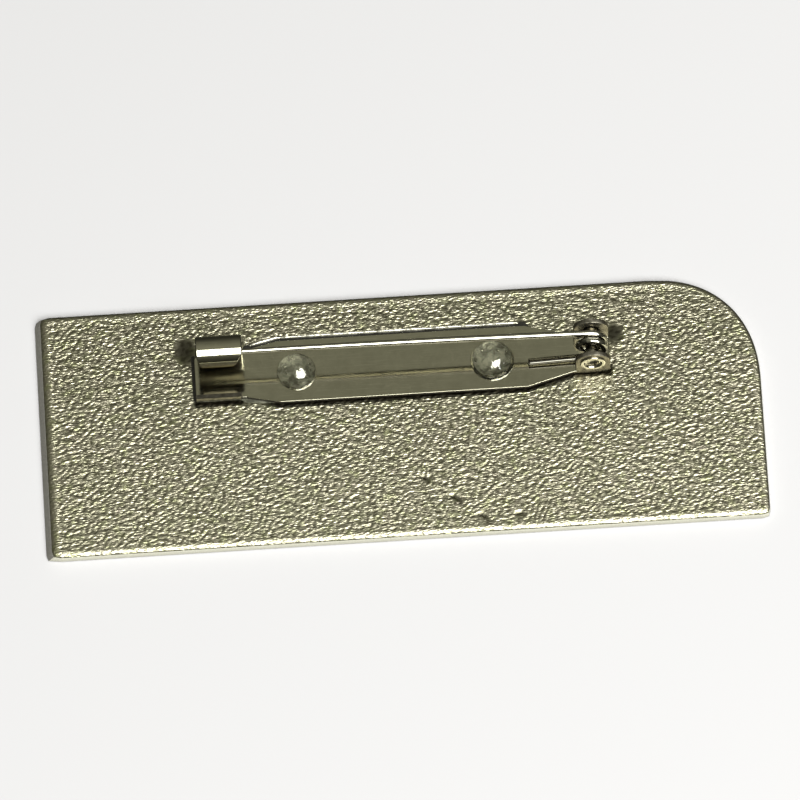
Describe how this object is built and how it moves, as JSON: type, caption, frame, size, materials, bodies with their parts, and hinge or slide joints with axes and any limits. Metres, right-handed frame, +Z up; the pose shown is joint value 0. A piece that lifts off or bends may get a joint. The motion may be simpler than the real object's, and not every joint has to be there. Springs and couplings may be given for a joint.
{
  "type": "name badge with brooch pin",
  "caption": "Flat metal name badge with a bare front, a leather-grained back, a rounded corner and a bar brooch pin glued on with clear adhesive.",
  "frame": {"origin": "middle of the badge's front face, which lies down on the surface", "axes": "+X along the badge from the pin's catch to its hinge, +Y across it towards the edge nearer the pin, +Z up out of the grained back"},
  "size_m": [0.0762, 0.028, 0.0069],
  "materials": {
    "back_metal": "champagne nickel plate over brass, leather-grained back and plain satin front",
    "pin_metal": "satin nickel plate, lightly scratched",
    "wire_metal": "bright nickel-plated spring wire",
    "rivet_metal": "warm bright nickel plate",
    "clear_adhesive": "clear, glossy, with small bubbles"
  },
  "bodies": {
    "base": {"badge_plate": "back_metal", "adhesive_film": "clear_adhesive", "adhesive_dome_left": "clear_adhesive", "adhesive_dome_right": "clear_adhesive", "pin_bar": "pin_metal", "hinge_rivet": "rivet_metal"},
    "stem": {"pin_stem": "wire_metal"}
  },
  "joints": [
    {"name": "stem_hinge", "type": "hinge", "parent": "base", "child": "stem", "pos_m": [0.0205, 0.00566, 0.00385], "axis": [0, 1, 0], "range_deg": [0, 100]}
  ]
}
